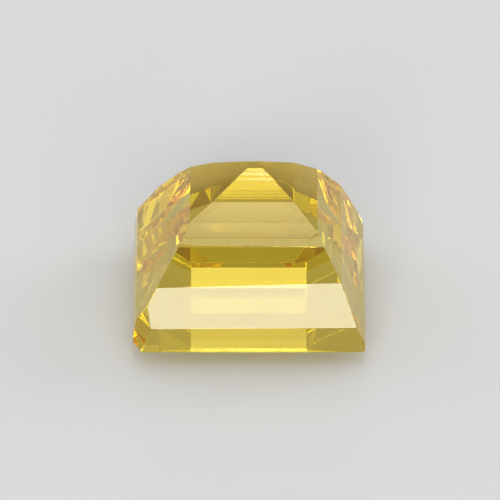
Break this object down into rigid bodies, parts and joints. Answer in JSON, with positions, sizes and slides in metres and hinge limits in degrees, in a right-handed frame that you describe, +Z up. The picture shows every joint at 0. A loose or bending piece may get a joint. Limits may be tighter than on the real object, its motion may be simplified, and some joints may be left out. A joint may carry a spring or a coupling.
{
  "type": "yellow sapphire",
  "caption": "Loose clear yellow gemstone in a square step cut, resting on its flat table with the stepped pavilion tapering up to a tiny flat culet.",
  "frame": {"origin": "middle of the stone's base, on the flat table that it rests on", "axes": "+Z up through the pavilion to the culet, +X to the stone's right side, -Y to its front"},
  "size_m": [0.0044, 0.0044, 0.0031],
  "materials": {
    "sapphire": "polished clear yellow crystal"
  },
  "bodies": {
    "root": {"sapphire": "sapphire"}
  },
  "joints": []
}
